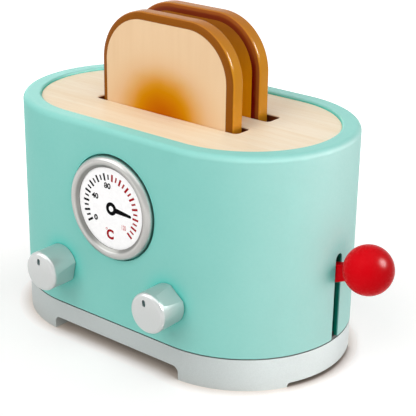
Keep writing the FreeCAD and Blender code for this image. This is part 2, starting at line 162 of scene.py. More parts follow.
def blendColour(tree, share, first, second):
    # The colour sockets are inputs 6 and 7 and output 2
    made = addNode(tree, "ShaderNodeMix", data_type="RGBA")
    plug(tree, made, {0: share, 6: first, 7: second})
    return made.outputs[2]


def ramp(tree, share, stops):
    made = addNode(tree, "ShaderNodeValToRGB", {"Fac": share})
    while len(made.color_ramp.elements) < len(stops):
        made.color_ramp.elements.new(0.5)
    for element, (place, colour) in zip(made.color_ramp.elements, stops):
        element.position = place
        element.color = colour
    return made.outputs["Color"]


def addBump(tree, shader, height, depth, strength):
    made = addNode(tree, "ShaderNodeBump", {"Height": height, "Distance": depth, "Strength": strength})
    tree.links.new(made.outputs["Normal"], shader.inputs["Normal"])


def dress(nodeName, material):
    # A CAD node keeps its shape and gets this finish
    nodes[nodeName].material_slots[0].material = material


def addObject(name, data):
    made = bpy.data.objects.new(name, data)
    bpy.context.scene.collection.objects.link(made)
    return made


def newPiece(name, points, faces, materials, smooth=True):
    mesh = bpy.data.meshes.new(name)
    mesh.from_pydata(points, [], faces)
    mesh.validate()
    for material in materials:
        mesh.materials.append(material)
    for polygon in mesh.polygons:
        polygon.use_smooth = smooth
    return addObject(name, mesh)


def finalMesh(name, source):
    # What an object becomes once its modifiers or its font have run, as a plain mesh
    graph = bpy.context.evaluated_depsgraph_get()
    mesh = bpy.data.meshes.new_from_object(source.evaluated_get(graph), depsgraph=graph)
    mesh.name = name
    return mesh


def turnOutwards(mesh, sharpDegrees=None):
    # Turns faces outwards; with an angle, also merges doubles and keeps edges sharp above it
    work = bmesh.new()
    work.from_mesh(mesh)
    if sharpDegrees:
        bmesh.ops.remove_doubles(work, verts=work.verts, dist=1e-6)
    bmesh.ops.recalc_face_normals(work, faces=work.faces)
    if sharpDegrees:
        limit = math.radians(sharpDegrees)
        for edge in work.edges:
            edge.smooth = len(edge.link_faces) == 2 and edge.calc_face_angle(0.0) < limit
    work.to_mesh(mesh)
    work.free()


# Paint on the body

bodyLook = {
    "colour": swatch(104, 186, 175),
    "pale": swatch(114, 192, 181),
    # Painted shade beside the knobs, bezel and ball
    "near": swatch(20, 192, 178),
    "wallShadeReach": 11.0 * mm,
    "wallShadeOpen": (0.5, 0.92),
    "wallShadeShare": 0.9,
    # Painted shade on the slot's walls
    "slot": swatch(8, 144, 122),
    "slotGloss": 0.15,
    "slotDepth": (0.9 * mm, 0.5 * mm),
    "slotReach": (8.0 * mm, 7.0 * mm),
    "slotTop": (66.0 * mm, 68.0 * mm),
    "cloudScale": 14.0,
    "cloudTone": (0.35, 0.65, 0.0, 0.7),
    "gritScale": 2400.0,
    "gritTone": (-0.08, 0.08),
    "peelScale": 620.0,
    "peelBump": (0.05 * mm, 0.35),
    "roughness": (0.66, 0.76),
    "shine": 1.0,
}


def insideSlot(tree, coords):
    # One on the walls of the lever's slot, just under the surface of the body's round end
    low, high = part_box("body_shell")
    half = (high.y - low.y) / 2
    radius = distanceFrom(tree, coords, (high.x - half, low.y + half, 0), (1, 1, 0))
    full, none = bodyLook["slotDepth"]
    under = spread(tree, radius, half - full, half - none, 1.0, 0.0)
    none, full = bodyLook["slotReach"]
    atEnd = spread(tree, axisOf(tree, coords, "X"), high.x - none, high.x - full)
    below = spread(tree, axisOf(tree, coords, "Z"), *bodyLook["slotTop"], 1.0, 0.0)
    return combine(tree, "MULTIPLY", combine(tree, "MULTIPLY", under, atEnd), below)


def makeBodyPaint():
    material, tree, shader, coords = newFinish("bodyPaint")
    cloud = noise(tree, coords, bodyLook["cloudScale"], detail=3.0)
    grit = noise(tree, coords, bodyLook["gritScale"], detail=1.0)
    cloudy = spread(tree, cloud, *bodyLook["cloudTone"])
    share = combine(tree, "ADD", cloudy, vary(tree, grit, *bodyLook["gritTone"]))
    colour = blendColour(tree, share, bodyLook["colour"], bodyLook["pale"])
    # Painted shade: beside the knobs, bezel and ball, where they shade the wall, the paint turns a deeper
    # teal
    occlusion = addNode(tree, "ShaderNodeAmbientOcclusion", {"Distance": bodyLook["wallShadeReach"]}, samples=8)
    wallShade = spread(tree, occlusion.outputs["AO"], *bodyLook["wallShadeOpen"], bodyLook["wallShadeShare"], 0.0)
    colour = blendColour(tree, wallShade, colour, bodyLook["near"])
    # Painted shade: the slot's walls are darker, and glossier
    slot = insideSlot(tree, coords)
    peel = noise(tree, coords, bodyLook["peelScale"], roughness=0.55)
    roughness = vary(tree, peel, *bodyLook["roughness"])
    smoother = spread(tree, slot, 0.0, 1.0, 1.0, bodyLook["slotGloss"])
    plug(tree, shader, {
        "Base Color": blendColour(tree, slot, colour, bodyLook["slot"]),
        "Roughness": combine(tree, "MULTIPLY", roughness, smoother),
        "Specular IOR Level": bodyLook["shine"],
    })
    addBump(tree, shader, peel, *bodyLook["peelBump"])
    return material


baseLook = {
    "colour": swatch(179, 186, 185),
    "dark": swatch(168, 174, 173),
    # Painted shade in the gap under the body
    "step": swatch(52, 44, 38),
    "stepDepth": (0.75 * mm, 0.65 * mm),
    "fleckScale": 1500.0,
    "fleckTone": (0.0, 0.5),
    "fleckBump": (0.02 * mm, 0.3),
    "cloudScale": 20.0,
    "cloudTone": (0.35, 0.65, 0.0, 0.35),
    "metallic": 0.3,
    "roughness": (0.46, 0.56),
    "shine": 1.0,
}


def makeBasePaint():
    material, tree, shader, coords = newFinish("basePaint")
    fleck = noise(tree, coords, baseLook["fleckScale"], detail=1.0)
    cloud = noise(tree, coords, baseLook["cloudScale"])
    cloudy = spread(tree, cloud, *baseLook["cloudTone"])
    share = combine(tree, "ADD", vary(tree, fleck, *baseLook["fleckTone"]), cloudy)
    colour = blendColour(tree, share, baseLook["colour"], baseLook["dark"])
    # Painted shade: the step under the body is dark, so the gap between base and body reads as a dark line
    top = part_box("base")[1].z
    none, full = baseLook["stepDepth"]
    gapShade = spread(tree, axisOf(tree, coords, "Z"), top - none, top - full)
    plug(tree, shader, {
        "Base Color": blendColour(tree, gapShade, colour, baseLook["step"]),
        "Metallic": baseLook["metallic"],
        "Roughness": vary(tree, cloud, *baseLook["roughness"]),
        "Specular IOR Level": baseLook["shine"],
    })
    addBump(tree, shader, fleck, *baseLook["fleckBump"])
    return material


dress("body_shell", makeBodyPaint())
dress("base", makeBasePaint())
print("Body and base painted")


# Beech panel let into the rim

panelLook = {
    "wood": swatch(244, 228, 201),
    "grain": swatch(238, 217, 184),
    "fleck": swatch(226, 196, 158),
    "waveStretch": (3.0, 14.0, 14.0),
    "waveTone": (0.35, 0.65, -0.15, 0.3),
    "streakStretch": (9.0, 210.0, 210.0),
    "streakTone": (0.35, 0.68),
    "poreStretch": (140.0, 1500.0, 1500.0),
    "poreTone": (0.6, 0.78, 0.0, 0.4),
    "poreBump": (0.03 * mm, 0.4),
    "slotWallTone": swatch(116, 54, 22),
    "slotWallDepth": (1.0 * mm, 0.3 * mm),
    "roughness": (0.41, 0.54),
}


def makeBeech():
    material, tree, shader, coords = newFinish("beechPanel")
    waveSpot = placed(tree, coords, stretch=panelLook["waveStretch"])
    streakSpot = placed(tree, coords, stretch=panelLook["streakStretch"])
    poreSpot = placed(tree, coords, stretch=panelLook["poreStretch"])
    wave = noise(tree, waveSpot)
    streak = noise(tree, streakSpot, detail=4.0, roughness=0.6, twist=0.25)
    pore = noise(tree, poreSpot, detail=1.0)
    wavy = spread(tree, wave, *panelLook["waveTone"])
    share = combine(tree, "ADD", spread(tree, streak, *panelLook["streakTone"]), wavy)
    colour = blendColour(tree, share, panelLook["wood"], panelLook["grain"])
    colour = blendColour(tree, spread(tree, pore, *panelLook["poreTone"]), colour, panelLook["fleck"])
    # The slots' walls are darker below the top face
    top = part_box("top_panel")[1].z
    full, none = panelLook["slotWallDepth"]
    onSlotWall = spread(tree, axisOf(tree, coords, "Z"), top - full, top - none, 1.0, 0.0)
    plug(tree, shader, {
        "Base Color": blendColour(tree, onSlotWall, colour, panelLook["slotWallTone"]),
        "Roughness": vary(tree, streak, *panelLook["roughness"]),
    })
    addBump(tree, shader, pore, *panelLook["poreBump"])
    return material


dress("top_panel", makeBeech())
print("Beech panel finished")


# Silver bezel and knobs

silverLook = {
    "bezel": swatch(184, 184, 181),
    "bezelDark": swatch(172, 172, 169),
    "bezelMetallic": 0.9,
    "bezelShade": swatch(112, 112, 108),
    "shadeRadius": (23.4 * mm, 24.2 * mm),
    "shadeShare": 0.75,
    "knob": swatch(202, 205, 204),
    "knobDark": swatch(199, 202, 201),
    "knobMetallic": 0.7,
    "notch": swatch(128, 148, 148),
    "notchDepth": (0.75 * mm, 1.0 * mm),
    "notchRadius": (7.9 * mm, 7.7 * mm),
    "grainScale": 2600.0,
    "grainTone": (0.35, 0.7, 0.0, 0.5),
    "grainBump": (0.002 * mm, 0.05),
    "roughness": (0.275, 0.287),
}


def makeSilver(name, nodeName, kind):
    material, tree, shader, coords = newFinish(name)
    grain = noise(tree, coords, silverLook["grainScale"], roughness=0.6)
    mottled = spread(tree, grain, *silverLook["grainTone"])
    tone = blendColour(tree, mottled, silverLook[kind], silverLook[kind + "Dark"])
    # The piece's own axis runs front to back
    radius = distanceFrom(tree, coords, middleOf(nodeName), (1.0, 0.0, 1.0))
    if kind == "bezel":
        # Painted shade: the lip round the dial is darker than the crest
        lip = spread(tree, radius, *silverLook["shadeRadius"], silverLook["shadeShare"], 0.0)
        tone = blendColour(tree, lip, tone, silverLook["bezelShade"])
    else:
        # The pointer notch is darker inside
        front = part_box(nodeName)[0].y
        none, full = silverLook["notchDepth"]
        deep = spread(tree, axisOf(tree, coords, "Y"), front + none, front + full)
        inside = spread(tree, radius, *silverLook["notchRadius"])
        tone = blendColour(tree, combine(tree, "MULTIPLY", deep, inside), tone, silverLook["notch"])
    plug(tree, shader, {
        "Base Color": tone,
        "Metallic": silverLook[kind + "Metallic"],
        "Roughness": vary(tree, grain, *silverLook["roughness"]),
    })
    addBump(tree, shader, grain, *silverLook["grainBump"])
    return material


dress("dial_bezel", makeSilver("bezelSilver", "dial_bezel", "bezel"))
for nodeName in ("knob_left", "knob_right"):
    dress(nodeName, makeSilver(nodeName + "Silver", nodeName, "knob"))
print("Silver pieces finished")


# Printed dial

dialLook = {
    "white": swatch(254, 254, 254),
    "fibre": swatch(247, 247, 247),
    "fibreScale": 700.0,
    "fibreTone": (0.3, 0.8),
    "fibreBump": (0.01 * mm, 0.3),
    "faceRoughness": (0.38, 0.48),
    "black": swatch(3, 3, 4),
    "blackMottle": 0.002,
    "red": swatch(158, 2, 20),
    "redMottle": 0.01,
    "paleRed": swatch(200, 100, 100),
    "paleRedMottle": 0.03,
    "speckScale": 1800.0,
    "speckTone": (0.35, 0.75),
    "inkRoughness": (0.4, 0.5),
    "inkShine": 0.02,
    "inkThickness": 0.06 * mm,
    "printDrop": 0.3 * mm,
    "tickCount": 29,
    "blackTicks": 14,
    "firstDegrees": 212.6,
    "lastDegrees": -41.2,
    "tickRadius": 17.2 * mm,
    "longTick": 3.9 * mm,
    "shortTick": 2.8 * mm,
    "longWidth": 1.2 * mm,
    "shortWidth": 0.95 * mm,
}

dialLow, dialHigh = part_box("dial_face")
dialMiddle = Vector((
    (dialLow.x + dialHigh.x) / 2,
    dialLow.y,
    (dialLow.z + dialHigh.z) / 2 - dialLook["printDrop"],
))


def makeInk(name, kind):
    material, tree, shader, coords = newFinish(name)
    speck = noise(tree, coords, dialLook["speckScale"], detail=1.0)
    red, green, blue, solid = dialLook[kind]
    mottle = dialLook[kind + "Mottle"]
    paler = (red + mottle, green + mottle, blue + mottle, solid)
    plug(tree, shader, {
        "Base Color": blendColour(tree, spread(tree, speck, *dialLook["speckTone"]), dialLook[kind], paler),
        "Roughness": vary(tree, speck, *dialLook["inkRoughness"]),
        "Specular IOR Level": dialLook["inkShine"],
    })
    return material


def makeDialWhite():
    material, tree, shader, coords = newFinish("dialWhite")
    fibre = noise(tree, coords, dialLook["fibreScale"], detail=3.0)
    share = spread(tree, fibre, *dialLook["fibreTone"])
    plug(tree, shader, {
        "Base Color": blendColour(tree, share, dialLook["white"], dialLook["fibre"]),
        "Roughness": vary(tree, fibre, *dialLook["faceRoughness"]),
    })
    addBump(tree, shader, fibre, *dialLook["fibreBump"])
    return material


dialWhite = makeDialWhite()
inkBlack = makeInk("inkBlack", "black")
inkRed = makeInk("inkRed", "red")
inkPaleRed = makeInk("inkPaleRed", "paleRed")
dress("dial_face", dialWhite)


def nodeGroup(name, inputs):
    # A Geometry Nodes tree with named inputs and one geometry output
    tree = bpy.data.node_groups.new(name, "GeometryNodeTree")
    for label, kind in inputs.items():
        tree.interface.new_socket(name=label, in_out="INPUT", socket_type="NodeSocket" + kind)
    tree.interface.new_socket(name="Geometry", in_out="OUTPUT", socket_type="NodeSocketGeometry")
    given = tree.nodes.new("NodeGroupInput").outputs
    result = tree.nodes.new("NodeGroupOutput").inputs[0]
    return tree, given, result


def meshFromTree(name, tree, values):
    # Runs a Geometry Nodes tree once and keeps its result as a plain mesh
    holder = addObject(name + "Holder", bpy.data.meshes.new(name + "Holder"))
    modifier = holder.modifiers.new("build", "NODES")
    modifier.node_group = tree
    for item in tree.interface.items_tree:
        if item.in_out == "INPUT":
            modifier[item.identifier] = values[item.name]
    mesh = finalMesh(name, holder)
    holder.modifiers.remove(modifier)
    bpy.data.objects.remove(holder)
    return addObject(name, mesh)


def makeTickTree():
    tree, given, result = nodeGroup("dialTicks", {
        "Tick Count": "Int",
        "Black Ticks": "Int",
        "First Angle": "Float",
        "Last Angle": "Float",
        "Radius": "Float",
        "Long Tick": "Float",
        "Short Tick": "Float",
        "Long Width": "Float",
        "Short Width": "Float",
        "Thickness": "Float",
        "Centre": "Vector",
        "First Ink": "Material",
        "Last Ink": "Material",
    })
    # One point for each tick, evenly along the arc
    points = addNode(tree, "GeometryNodePoints", {"Count": given["Tick Count"]}).outputs[0]
    index = tree.nodes.new("GeometryNodeInputIndex").outputs[0]
    gaps = combine(tree, "SUBTRACT", given["Tick Count"], 1.0)
    sweep = combine(tree, "SUBTRACT", given["Last Angle"], given["First Angle"])
    step = combine(tree, "DIVIDE", sweep, gaps)
    angle = combine(tree, "ADD", given["First Angle"], combine(tree, "MULTIPLY", index, step))
    east = combine(tree, "MULTIPLY", combine(tree, "COSINE", angle), given["Radius"])
    north = combine(tree, "MULTIPLY", combine(tree, "SINE", angle), given["Radius"])
    onArc = addNode(tree, "ShaderNodeCombineXYZ", {"X": east, "Z": north}).outputs[0]
    place = addNode(tree, "ShaderNodeVectorMath", {0: onArc, 1: given["Centre"]}, operation="ADD")
    moved = addNode(tree, "GeometryNodeSetPosition", {"Geometry": points, "Position": place.outputs[0]})
    # Inputs 2 and 3 compare whole numbers
    late = addNode(
        tree,
        "FunctionNodeCompare",
        {2: index, 3: given["Black Ticks"]},
        data_type="INT",
        operation="GREATER_EQUAL",
    )
    marked = addNode(
        tree,
        "GeometryNodeStoreNamedAttribute",
        {"Geometry": moved.outputs[0], "Name": "lastInk", "Value": late.outputs[0]},
        data_type="BOOLEAN",
        domain="POINT",
    )
    # Every second tick is shorter and narrower
    odd = combine(tree, "MODULO", index, 2.0)
    shorter = combine(tree, "SUBTRACT", given["Short Tick"], given["Long Tick"])
    length = combine(tree, "ADD", given["Long Tick"], combine(tree, "MULTIPLY", odd, shorter))
    narrower = combine(tree, "SUBTRACT", given["Short Width"], given["Long Width"])
    width = combine(tree, "ADD", given["Long Width"], combine(tree, "MULTIPLY", odd, narrower))
    size = addNode(tree, "ShaderNodeCombineXYZ", {"X": length, "Y": given["Thickness"], "Z": width})
    lean = addNode(tree, "ShaderNodeCombineXYZ", {"Y": combine(tree, "MULTIPLY", angle, -1.0)})
    turn = addNode(tree, "FunctionNodeEulerToRotation", {0: lean.outputs[0]}).outputs[0]
    bar = addNode(tree, "GeometryNodeMeshCube", {"Size": (1.0, 1.0, 1.0)}).outputs[0]
    ticks = addNode(
        tree,
        "GeometryNodeInstanceOnPoints",
        {"Points": marked.outputs[0], "Instance": bar, "Rotation": turn, "Scale": size.outputs[0]},
    ).outputs[0]
    solid = addNode(tree, "GeometryNodeRealizeInstances", {"Geometry": ticks}).outputs[0]
    first = addNode(tree, "GeometryNodeSetMaterial", {"Geometry": solid, "Material": given["First Ink"]})
    chosen = addNode(tree, "GeometryNodeInputNamedAttribute", {"Name": "lastInk"}, data_type="BOOLEAN")
    last = addNode(
        tree,
        "GeometryNodeSetMaterial",
        {"Geometry": first.outputs[0], "Selection": chosen.outputs[0], "Material": given["Last Ink"]},
    )
    tree.links.new(last.outputs[0], result)
    return tree


dialTicks = meshFromTree("dialTicks", makeTickTree(), {
    "Tick Count": dialLook["tickCount"],
    "Black Ticks": dialLook["blackTicks"],
    "First Angle": math.radians(dialLook["firstDegrees"]),
    "Last Angle": math.radians(dialLook["lastDegrees"]),
    "Radius": dialLook["tickRadius"],
    "Long Tick": dialLook["longTick"],
    "Short Tick": dialLook["shortTick"],
    "Long Width": dialLook["longWidth"],
    "Short Width": dialLook["shortWidth"],
    "Thickness": dialLook["inkThickness"],
    "Centre": dialMiddle,
    "First Ink": inkBlack,
    "Last Ink": inkRed,
})
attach(dialTicks, "toaster")
print("Dial ticks made")

# Words, size, boldness, place from the dial's middle, ink, and width against height
dialPrint = {
    "dialNumber0": ("0", 3.9 * mm, 0.2 * mm, (-10.6 * mm, -7.3 * mm), inkBlack, 1.25),
    "dialNumber40": ("40", 4.0 * mm, 0.16 * mm, (-10.9 * mm, 4.7 * mm), inkBlack, 1.12),
    "dialNumber80": ("80", 4.1 * mm, 0.14 * mm, (-2.1 * mm, 12.2 * mm), inkBlack, 1.12),
    "dialNumber120": ("120", 3.7 * mm, 0.05 * mm, (8.9 * mm, -8.2 * mm), inkPaleRed, 0.6),
    "dialUnit": ("C", 7.0 * mm, 0.34 * mm, (-0.6 * mm, -14.4 * mm), inkRed, 1.0),
    "dialDegree": ("o", 2.6 * mm, 0.05 * mm, (-3.1 * mm, -11.3 * mm), inkPaleRed, 1.0),
}


def printedText(name, words, size, boldness, place, ink, width):
    # Lettering as thin ink on the dial, made a mesh before it is stood up
    curve = bpy.data.curves.new(name, "FONT")
    curve.body = words
    curve.size = size
    curve.offset = boldness
    curve.align_x = "CENTER"
    curve.align_y = "CENTER"
    curve.extrude = dialLook["inkThickness"] / 2
    text = addObject(name + "Text", curve)
    mesh = finalMesh(name, text)
    bpy.data.objects.remove(text)
    upright = Matrix.Rotation(math.pi / 2, 4, "X") @ Matrix.Diagonal((width, 1.0, 1.0, 1.0))
    mesh.transform(Matrix.Translation(dialMiddle + Vector((place[0], 0, place[1]))) @ upright)
    mesh.materials.clear()
    mesh.materials.append(ink)
    piece = addObject(name, mesh)
    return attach(piece, "toaster")


for pieceName, details in dialPrint.items():
    printedText(pieceName, *details)
print("Dial numbers printed")

needleLook = {
    "degrees": -4.6,
    "hubCentre": (0.4 * mm, 0.25 * mm),
    "hubRadius": 3.55 * mm,
    "eyeRadius": 1.55 * mm,
    "rootWidth": 3.3 * mm,
    "tipWidth": 1.55 * mm,
    "tipSteps": 12,
    "hubSteps": 40,
    "reach": 13.9 * mm,
    "bladeHeight": 0.08 * mm,
    "hubHeight": 0.11 * mm,
    "eyeHeight": 0.14 * mm,
    "sharpDegrees": 30.0,
}


def flatPlate(outline, level, thickness):
    # Points and faces of a thin plate in the dial's plane, its front at level
    points = [(x, level, z) for x, z in outline] + [(x, level + thickness, z) for x, z in outline]
    count = len(outline)
    faces = [tuple(range(count)), tuple(reversed(range(count, 2 * count)))]
    for index in range(count):
        after = (index + 1) % count
        faces.append((after, index, index + count, after + count))
    return points, faces


def circleOutline(centre, radius):
    steps = needleLook["hubSteps"]
    turns = [2 * math.pi * step / steps for step in range(steps)]
    return [(centre[0] + radius * math.cos(turn), centre[1] + radius * math.sin(turn)) for turn in turns]


def bladeOutline(hub):
    # Tapers from the hub to a round tip, then leans
    lean = math.radians(needleLook["degrees"])
    root = needleLook["rootWidth"] / 2
    tip = needleLook["tipWidth"] / 2
    reach = needleLook["reach"] - tip
    steps = needleLook["tipSteps"]
    blade = [(0.0, root), (0.0, -root), (reach, -tip)]
    for step in range(1, steps):
        turn = math.pi * step / steps - math.pi / 2
        blade.append((reach + tip * math.cos(turn), tip * math.sin(turn)))
    blade.append((reach, tip))
    outline = []
    for along, across in blade:
        x = hub[0] + along * math.cos(lean) - across * math.sin(lean)
        z = hub[1] + along * math.sin(lean) + across * math.cos(lean)
        outline.append((x, z))
    return outline


def makeNeedle():
    hub = (dialMiddle.x + needleLook["hubCentre"][0], dialMiddle.z + needleLook["hubCentre"][1])
    # Outline, height above the dial, and material slot
    parts = [
        (bladeOutline(hub), needleLook["bladeHeight"], 0),
        (circleOutline(hub, needleLook["hubRadius"]), needleLook["hubHeight"], 0),
        (circleOutline(hub, needleLook["eyeRadius"]), needleLook["eyeHeight"], 1),
    ]
    points, faces, slots = [], [], []
    for outline, height, slotIndex in parts:
        newPoints, newFaces = flatPlate(outline, dialMiddle.y - height, height)
        start = len(points)
        points += newPoints
        faces += [tuple(corner + start for corner in face) for face in newFaces]
        slots += [slotIndex] * len(newFaces)
    needle = newPiece("dialNeedle", points, faces, [inkBlack, dialWhite], smooth=False)
    for polygon, slotIndex in zip(needle.data.polygons, slots):
        polygon.material_index = slotIndex
    turnOutwards(needle.data, needleLook["sharpDegrees"])
    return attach(needle, "toaster")


makeNeedle()
print("Needle printed")


# Slices of toast

toastLook = {
    "shoulder": 29.5 * mm,
    "shoulderSteps": 28,
    "footCorner": 12.0 * mm,
    "footSteps": 12,
    "leastCorner": 0.2 * mm,
    "edge": 2.2 * mm,
    "edgeSteps": 6,
    "edgeTone": 0.6,
    "frontBand": 4.0 * mm,
    "frontRidge": 0.9,
    "backBand": 4.4 * mm,
    "backRidge": 0.8,
    "bandSlope": 0.5 * mm,
    "wood": swatch(235, 202, 163),
    "grain": swatch(231, 196, 156),
    "grainStretch": (260.0, 260.0, 16.0),
    "grainTone": (0.35, 0.7, 0.0, 0.7),
    "grainBump": (0.01 * mm, 0.3),
    "patchScale": 30.0,
    "patchTone": (-0.1, 0.25),
    "woodRoughness": (0.5, 0.6),
    "woodShine": 0.03,
    # The back slice's colours are painted shade and warm bounced light, deeper than the front slice's; its
    # crust band is painted lighter towards the top, as lit from above, and its wood turns darker towards
    # the top
    "backWoodShaded": swatch(244, 168, 10),
    "backGrainShaded": swatch(230, 151, 6),
    "backBurnShaded": swatch(196, 112, 0),
    "backTop": swatch(164, 100, 30),
    "backTopDepth": (34.0 * mm, 8.0 * mm),
    "crust": swatch(227, 152, 34),
    "crustDeep": swatch(214, 138, 30),
    "crustBand": swatch(140, 78, 12),
    "backCrustBandShaded": swatch(112, 12, 8),
    "backCrustTopLit": swatch(122, 46, 20),
    "backCrustEdgeShaded": swatch(150, 76, 22),
    "crustTopDepth": (32.0 * mm, 6.0 * mm),
    # Painted shade over the top of the crust
    "topShade": swatch(156, 88, 38),
    "topShadeDepth": (20.0 * mm, 1.0 * mm),
    "topShadeShare": 0.65,
    "crustStretch": (60.0, 500.0, 60.0),
    "crustPatchScale": 45.0,
    "crustMottle": (-0.06, 0.06),
    "crustDeepTone": (0.0, 0.5),
    "crustBump": (0.01 * mm, 0.2),
    "crustRoughness": (0.15, 0.25),
    "crustShine": 0.07,
    "edgeTones": (0.2, 0.5),
    "bandTones": (0.65, 0.88),
    "burnPlace": (-1.5 * mm, -6.7 * mm),
    "burnRadius": 45.0 * mm,
    "wobbleScale": 60.0,
    "wobble": (-0.8 * mm, 0.8 * mm),
}


def toastOutline(low, high, inset):
    # The slice's outline seen from the front, moved inwards, as points counter-clockwise
    left, right = low.x + inset, high.x - inset
    bottom, top = low.z + inset, high.z - inset
    foot = max(toastLook["footCorner"] - inset, toastLook["leastCorner"])
    shoulder = max(toastLook["shoulder"] - inset, toastLook["leastCorner"])
    corners = [
        (right - foot, bottom + foot, foot, -90, toastLook["footSteps"]),
        (right - shoulder, top - shoulder, shoulder, 0, toastLook["shoulderSteps"]),
        (left + shoulder, top - shoulder, shoulder, 90, toastLook["shoulderSteps"]),
        (left + foot, bottom + foot, foot, 180, toastLook["footSteps"]),
    ]
    points = []
    for x, z, radius, start, steps in corners:
        for step in range(steps + 1):
            turn = math.radians(start + 90 * step / steps)
            points.append((x + radius * math.cos(turn), z + radius * math.sin(turn)))
    return points


def toastRings(low, high, band, ridgeTone):
    # Inset, depth and crust tone of each ring, from the front face round the edge to the back
    edge = toastLook["edge"]
    start = low.y + toastLook["bandSlope"]
    steps = toastLook["edgeSteps"]
    rings = [(band, low.y, 1.0), (edge, start, ridgeTone)]
    for step in range(1, steps + 1):
        turn = math.radians(90 * step / steps)
        tone = toastLook["edgeTone"] if step <= steps / 2 else 0.0
        rings.append((edge - edge * math.sin(turn), start + edge - edge * math.cos(turn), tone))
    middle = (low.y + high.y) / 2
    backHalf = [(inset, 2 * middle - y, tone) for inset, y, tone in reversed(rings)]
    return rings + [(0.0, middle, 0.0)] + backHalf


def makeToast(nodeName, pieceName, bodyName, band, ridgeTone, materials):
    low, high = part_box(nodeName)
    rings = toastRings(low, high, band, ridgeTone)
    count = len(toastOutline(low, high, 0.0))
    points, tones = [], []
    for inset, y, tone in rings:
        points += [(x, y, z) for x, z in toastOutline(low, high, inset)]
        tones += [tone] * count
    # Material slot 1 is the crust, and slot 0 the wood of the two flat faces
    faces, slots = [], []
    for ring in range(len(rings) - 1):
        for index in range(count):
            after = (index + 1) % count
            near, far = ring * count, (ring + 1) * count
            faces.append((near + index, near + after, far + after, far + index))
            slots.append(1)
    last = (len(rings) - 1) * count
    faces.append(tuple(range(count)))
    faces.append(tuple(last + index for index in reversed(range(count))))
    slots += [0, 0]
    toast = newPiece(pieceName, points, faces, materials)
    for polygon, slotIndex in zip(toast.data.polygons, slots):
        polygon.material_index = slotIndex
    bandTone = toast.data.attributes.new("bandTone", "FLOAT", "POINT")
    bandTone.data.foreach_set("value", tones)
    turnOutwards(toast.data)
    # The flat faces keep even shading up to the rounded edge
    shading = toast.modifiers.new("evenShading", "WEIGHTED_NORMAL")
    shading.keep_sharp = True
    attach(toast, bodyName)
    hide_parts(nodeName)
    return toast


def makeToastWood(name, nodeName, woodColour, grainColour, topColour, spray):
    # Wood with a spray of toasting round the middle of the slice
    material, tree, shader, coords = newFinish(name)
    low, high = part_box(nodeName)
    grainSpot = placed(tree, coords, stretch=toastLook["grainStretch"])
    grain = noise(tree, grainSpot, detail=3.0, roughness=0.6, twist=0.2)
    patch = noise(tree, coords, toastLook["patchScale"])
    grainy = spread(tree, grain, *toastLook["grainTone"])
    share = combine(tree, "ADD", grainy, vary(tree, patch, *toastLook["patchTone"]))
    wood = blendColour(tree, share, woodColour, grainColour)
    across, upwards = toastLook["burnPlace"]
    middle = ((low.x + high.x) / 2 + across, low.y, (low.z + high.z) / 2 + upwards)
    reach = distanceFrom(tree, coords, middle, (1.0, 0.0, 1.0))
    wobble = vary(tree, noise(tree, coords, toastLook["wobbleScale"]), *toastLook["wobble"])
    burnShare = spread(tree, combine(tree, "ADD", reach, wobble), 0.0, toastLook["burnRadius"])
    cover = spread(tree, burnShare, spray[-2][0], 1.0, 1.0, 0.0)
    colour = blendColour(tree, cover, wood, ramp(tree, burnShare, spray))
    none, full = toastLook["backTopDepth"]
    upper = spread(tree, axisOf(tree, coords, "Z"), high.z - none, high.z - full)
    plug(tree, shader, {
        "Base Color": blendColour(tree, upper, colour, topColour or wood),
        "Roughness": vary(tree, grain, *toastLook["woodRoughness"]),
        "Specular IOR Level": toastLook["woodShine"],
    })
    addBump(tree, shader, grain, *toastLook["grainBump"])
    return material


def makeCrust(name, bandColour, bandTop, edgeColour):
    material, tree, shader, coords = newFinish(name)
    tone = addNode(tree, "ShaderNodeAttribute", attribute_name="bandTone").outputs["Fac"]
    streak = noise(tree, placed(tree, coords, stretch=toastLook["crustStretch"]))
    patch = noise(tree, coords, toastLook["crustPatchScale"])
    share = combine(tree, "ADD", tone, vary(tree, streak, *toastLook["crustMottle"]))
    share = combine(tree, "ADD", share, vary(tree, patch, *toastLook["crustMottle"]))
    deeper = vary(tree, patch, *toastLook["crustDeepTone"])
    side = blendColour(tree, deeper, toastLook["crust"], toastLook["crustDeep"])
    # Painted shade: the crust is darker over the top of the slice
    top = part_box("toast_front")[1].z
    height = axisOf(tree, coords, "Z")
    none, full = toastLook["topShadeDepth"]
    topShade = spread(tree, height, top - none, top - full, 0.0, toastLook["topShadeShare"])
    side = blendColour(tree, topShade, side, toastLook["topShade"])
    colour = blendColour(tree, spread(tree, share, *toastLook["edgeTones"]), side, edgeColour)
    none, full = toastLook["crustTopDepth"]
    band = blendColour(tree, spread(tree, height, top - none, top - full), bandColour, bandTop)
    plug(tree, shader, {
        "Base Color": blendColour(tree, spread(tree, share, *toastLook["bandTones"]), colour, band),
        "Roughness": vary(tree, patch, *toastLook["crustRoughness"]),
        "Specular IOR Level": toastLook["crustShine"],
    })
    addBump(tree, shader, streak, *toastLook["crustBump"])
    return material


# Colours of the toasting, from its middle outwards
frontSpray = [
    (0.0, swatch(184, 84, 0)),
    (0.17, swatch(192, 102, 0)),
    (0.27, swatch(198, 115, 0)),
    (0.37, swatch(205, 132, 0)),
    (0.433, swatch(212, 144, 36)),
    (0.5, swatch(218, 157, 82)),
    (0.567, swatch(221, 169, 105)),
    (0.633, swatch(225, 179, 127)),
    (0.7, swatch(228, 187, 142)),
    (0.8, swatch(231, 194, 152)),
    (1.0, toastLook["wood"]),
]
backSpray = [(0.0, toastLook["backBurnShaded"]), (0.5, toastLook["backGrainShaded"]), (1.0, toastLook["backWoodShaded"])]
frontToast = [
    makeToastWood("toastFrontWood", "toast_front", toastLook["wood"], toastLook["grain"], None, frontSpray),
    makeCrust("toastFrontCrust", toastLook["crustBand"], toastLook["crustBand"], toastLook["crustBand"]),
]
